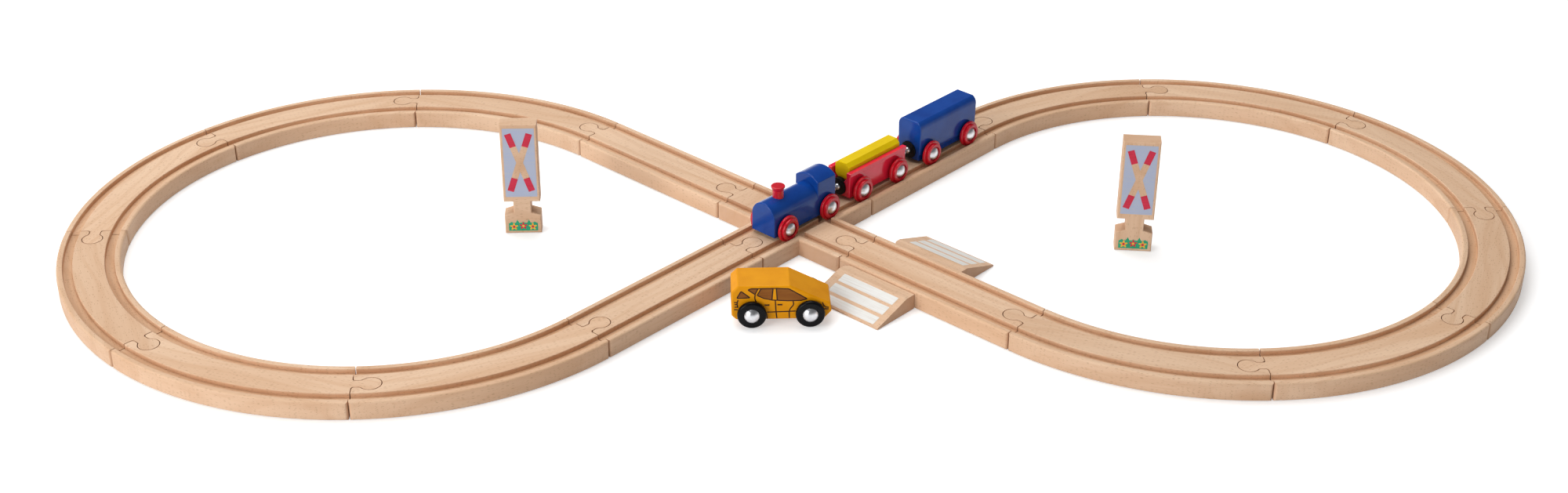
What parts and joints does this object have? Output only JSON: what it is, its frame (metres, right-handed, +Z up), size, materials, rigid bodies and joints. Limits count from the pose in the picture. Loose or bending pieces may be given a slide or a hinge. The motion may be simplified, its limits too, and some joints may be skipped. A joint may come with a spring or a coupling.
{
  "type": "wooden train set",
  "caption": "Wooden toy railway: figure-of-eight grooved track with a crossing, magnet-coupled train, car, level-crossing ramps and standing signs.",
  "frame": {"origin": "on the floor under the middle of the crossing, which is also the middle of the whole figure", "axes": "+Z up; +X along the figure from the left loop to the right loop; -Y towards the side where the car stands"},
  "size_m": [0.9574, 0.42, 0.08],
  "materials": {
    "beech": "sanded beech, bare",
    "paint_blue": "gloss blue paint on wood",
    "paint_red": "gloss red paint on wood",
    "paint_yellow": "satin yellow paint on wood",
    "paint_orange": "satin orange-yellow paint on wood",
    "paint_white": "thin white print on wood",
    "print_sky": "pale blue-grey print on wood",
    "print_red": "red print on wood",
    "print_green": "green print on wood",
    "print_yellow": "yellow print on wood",
    "print_line": "dark brown print on wood",
    "print_window": "brown print on wood",
    "wheel_red": "glossy red plastic",
    "wheel_black": "black plastic, slightly glossy",
    "magnet_black": "black magnet holder",
    "steel": "polished plated steel"
  },
  "bodies": {
    "track": {"crossing": "beech", "right_straight_out": "beech", "left_straight_in": "beech"},
    "right_curve_1": {"right_curve_1": "beech"},
    "right_curve_2": {"right_curve_2": "beech"},
    "right_curve_3": {"right_curve_3": "beech"},
    "right_curve_4": {"right_curve_4": "beech"},
    "right_curve_5": {"right_curve_5": "beech"},
    "right_curve_6": {"right_curve_6": "beech"},
    "right_straight_in": {"right_straight_in": "beech"},
    "left_straight_out": {"left_straight_out": "beech"},
    "left_curve_1": {"left_curve_1": "beech"},
    "left_curve_2": {"left_curve_2": "beech"},
    "left_curve_3": {"left_curve_3": "beech"},
    "left_curve_4": {"left_curve_4": "beech"},
    "left_curve_5": {"left_curve_5": "beech"},
    "left_curve_6": {"left_curve_6": "beech"},
    "front_ramp": {"front_ramp": "beech"},
    "back_ramp": {"back_ramp": "beech"},
    "left_sign": {"left_sign": "beech"},
    "right_sign": {"right_sign": "beech"},
    "engine": {"engine_block": "paint_blue", "engine_cab": "paint_blue", "engine_funnel": "wheel_red", "engine_rear_collar": "magnet_black", "engine_rear_magnet": "steel"},
    "open_wagon": {"open_wagon_body": "paint_red", "open_wagon_front_collar": "magnet_black", "open_wagon_front_magnet": "steel", "open_wagon_rear_collar": "magnet_black", "open_wagon_rear_magnet": "steel"},
    "load": {"open_wagon_load": "paint_yellow"},
    "box_wagon": {"box_wagon_body": "paint_blue", "box_wagon_front_collar": "magnet_black", "box_wagon_front_magnet": "steel", "box_wagon_rear_collar": "magnet_black", "box_wagon_rear_magnet": "steel"},
    "engine_front_wheelset": {"engine_front_axle": "steel", "engine_front_wheels": "wheel_red"},
    "engine_rear_wheelset": {"engine_rear_axle": "steel", "engine_rear_wheels": "wheel_red"},
    "open_wagon_front_wheelset": {"open_wagon_front_axle": "steel", "open_wagon_front_wheels": "wheel_red"},
    "open_wagon_rear_wheelset": {"open_wagon_rear_axle": "steel", "open_wagon_rear_wheels": "wheel_red"},
    "box_wagon_front_wheelset": {"box_wagon_front_axle": "steel", "box_wagon_front_wheels": "wheel_red"},
    "box_wagon_rear_wheelset": {"box_wagon_rear_axle": "steel", "box_wagon_rear_wheels": "wheel_red"},
    "car": {"car_body": "paint_orange"},
    "car_rear_wheelset": {"car_rear_axle": "steel", "car_rear_wheels": "wheel_black"},
    "car_front_wheelset": {"car_front_axle": "steel", "car_front_wheels": "wheel_black"}
  },
  "joints": [
    {"name": "right_curve_1_lift", "type": "slide", "parent": "track", "child": "right_curve_1", "axis": [0, 0, 1], "range_m": [0, 0.03]},
    {"name": "right_curve_2_lift", "type": "slide", "parent": "track", "child": "right_curve_2", "axis": [0, 0, 1], "range_m": [0, 0.03]},
    {"name": "right_curve_3_lift", "type": "slide", "parent": "track", "child": "right_curve_3", "axis": [0, 0, 1], "range_m": [0, 0.03]},
    {"name": "right_curve_4_lift", "type": "slide", "parent": "track", "child": "right_curve_4", "axis": [0, 0, 1], "range_m": [0, 0.03]},
    {"name": "right_curve_5_lift", "type": "slide", "parent": "track", "child": "right_curve_5", "axis": [0, 0, 1], "range_m": [0, 0.03]},
    {"name": "right_curve_6_lift", "type": "slide", "parent": "track", "child": "right_curve_6", "axis": [0, 0, 1], "range_m": [0, 0.03]},
    {"name": "right_straight_in_lift", "type": "slide", "parent": "track", "child": "right_straight_in", "axis": [0, 0, 1], "range_m": [0, 0.03]},
    {"name": "left_straight_out_lift", "type": "slide", "parent": "track", "child": "left_straight_out", "axis": [0, 0, 1], "range_m": [0, 0.03]},
    {"name": "left_curve_1_lift", "type": "slide", "parent": "track", "child": "left_curve_1", "axis": [0, 0, 1], "range_m": [0, 0.03]},
    {"name": "left_curve_2_lift", "type": "slide", "parent": "track", "child": "left_curve_2", "axis": [0, 0, 1], "range_m": [0, 0.03]},
    {"name": "left_curve_3_lift", "type": "slide", "parent": "track", "child": "left_curve_3", "axis": [0, 0, 1], "range_m": [0, 0.03]},
    {"name": "left_curve_4_lift", "type": "slide", "parent": "track", "child": "left_curve_4", "axis": [0, 0, 1], "range_m": [0, 0.03]},
    {"name": "left_curve_5_lift", "type": "slide", "parent": "track", "child": "left_curve_5", "axis": [0, 0, 1], "range_m": [0, 0.03]},
    {"name": "left_curve_6_lift", "type": "slide", "parent": "track", "child": "left_curve_6", "axis": [0, 0, 1], "range_m": [0, 0.03]},
    {"name": "front_ramp_slide", "type": "slide", "parent": "track", "child": "front_ramp", "axis": [0.7071, -0.7071, 0], "range_m": [0, 0.03]},
    {"name": "back_ramp_lift", "type": "slide", "parent": "track", "child": "back_ramp", "axis": [0, 0, 1], "range_m": [0, 0.03]},
    {"name": "left_sign_lift", "type": "slide", "parent": "track", "child": "left_sign", "axis": [0, 0, 1], "range_m": [0, 0.03]},
    {"name": "right_sign_lift", "type": "slide", "parent": "track", "child": "right_sign", "axis": [0, 0, 1], "range_m": [0, 0.03]},
    {"name": "train_roll", "type": "slide", "parent": "track", "child": "engine", "axis": [-0.7071, -0.7071, 0], "range_m": [0, 0.13]},
    {"name": "open_wagon_uncouple", "type": "slide", "parent": "engine", "child": "open_wagon", "axis": [0.7071, 0.7071, 0], "range_m": [0, 0.008]},
    {"name": "load_lift", "type": "slide", "parent": "open_wagon", "child": "load", "axis": [0, 0, 1], "range_m": [0, 0.03]},
    {"name": "box_wagon_uncouple", "type": "slide", "parent": "open_wagon", "child": "box_wagon", "axis": [0.7071, 0.7071, 0], "range_m": [0, 0.008]},
    {"name": "engine_front_axle_turn", "type": "hinge", "parent": "engine", "child": "engine_front_wheelset", "pos_m": [-0.01556, -0.01556, 0.01825], "axis": [0.7071, -0.7071, 0], "continuous": true},
    {"name": "engine_rear_axle_turn", "type": "hinge", "parent": "engine", "child": "engine_rear_wheelset", "pos_m": [0.01344, 0.01344, 0.01825], "axis": [0.7071, -0.7071, 0], "continuous": true},
    {"name": "open_wagon_front_axle_turn", "type": "hinge", "parent": "open_wagon", "child": "open_wagon_front_wheelset", "pos_m": [0.0373, 0.0373, 0.01825], "axis": [0.7071, -0.7071, 0], "continuous": true},
    {"name": "open_wagon_rear_axle_turn", "type": "hinge", "parent": "open_wagon", "child": "open_wagon_rear_wheelset", "pos_m": [0.06382, 0.06382, 0.01825], "axis": [0.7071, -0.7071, 0], "continuous": true},
    {"name": "box_wagon_front_axle_turn", "type": "hinge", "parent": "box_wagon", "child": "box_wagon_front_wheelset", "pos_m": [0.08927, 0.08927, 0.01825], "axis": [0.7071, -0.7071, 0], "continuous": true},
    {"name": "box_wagon_rear_axle_turn", "type": "hinge", "parent": "box_wagon", "child": "box_wagon_rear_wheelset", "pos_m": [0.11862, 0.11862, 0.01825], "axis": [0.7071, -0.7071, 0], "continuous": true},
    {"name": "car_roll", "type": "slide", "parent": "track", "child": "car", "axis": [1, 0, 0], "range_m": [-0.012, 0]},
    {"name": "car_rear_axle_turn", "type": "hinge", "parent": "car", "child": "car_rear_wheelset", "pos_m": [-0.0337, -0.1021, 0.0091], "axis": [0, 1, 0], "continuous": true},
    {"name": "car_front_axle_turn", "type": "hinge", "parent": "car", "child": "car_front_wheelset", "pos_m": [0.0024, -0.1021, 0.0091], "axis": [0, 1, 0], "continuous": true}
  ],
  "couplings": [
    {"joint": "engine_front_axle_turn", "follows": "train_roll", "rad_per_m": 111.11},
    {"joint": "engine_rear_axle_turn", "follows": "train_roll", "rad_per_m": 111.11},
    {"joint": "open_wagon_front_axle_turn", "follows": "train_roll", "rad_per_m": 111.11},
    {"joint": "open_wagon_rear_axle_turn", "follows": "train_roll", "rad_per_m": 111.11},
    {"joint": "box_wagon_front_axle_turn", "follows": "train_roll", "rad_per_m": 111.11},
    {"joint": "box_wagon_rear_axle_turn", "follows": "train_roll", "rad_per_m": 111.11},
    {"joint": "car_rear_axle_turn", "follows": "car_roll", "rad_per_m": 109.89},
    {"joint": "car_front_axle_turn", "follows": "car_roll", "rad_per_m": 109.89}
  ]
}
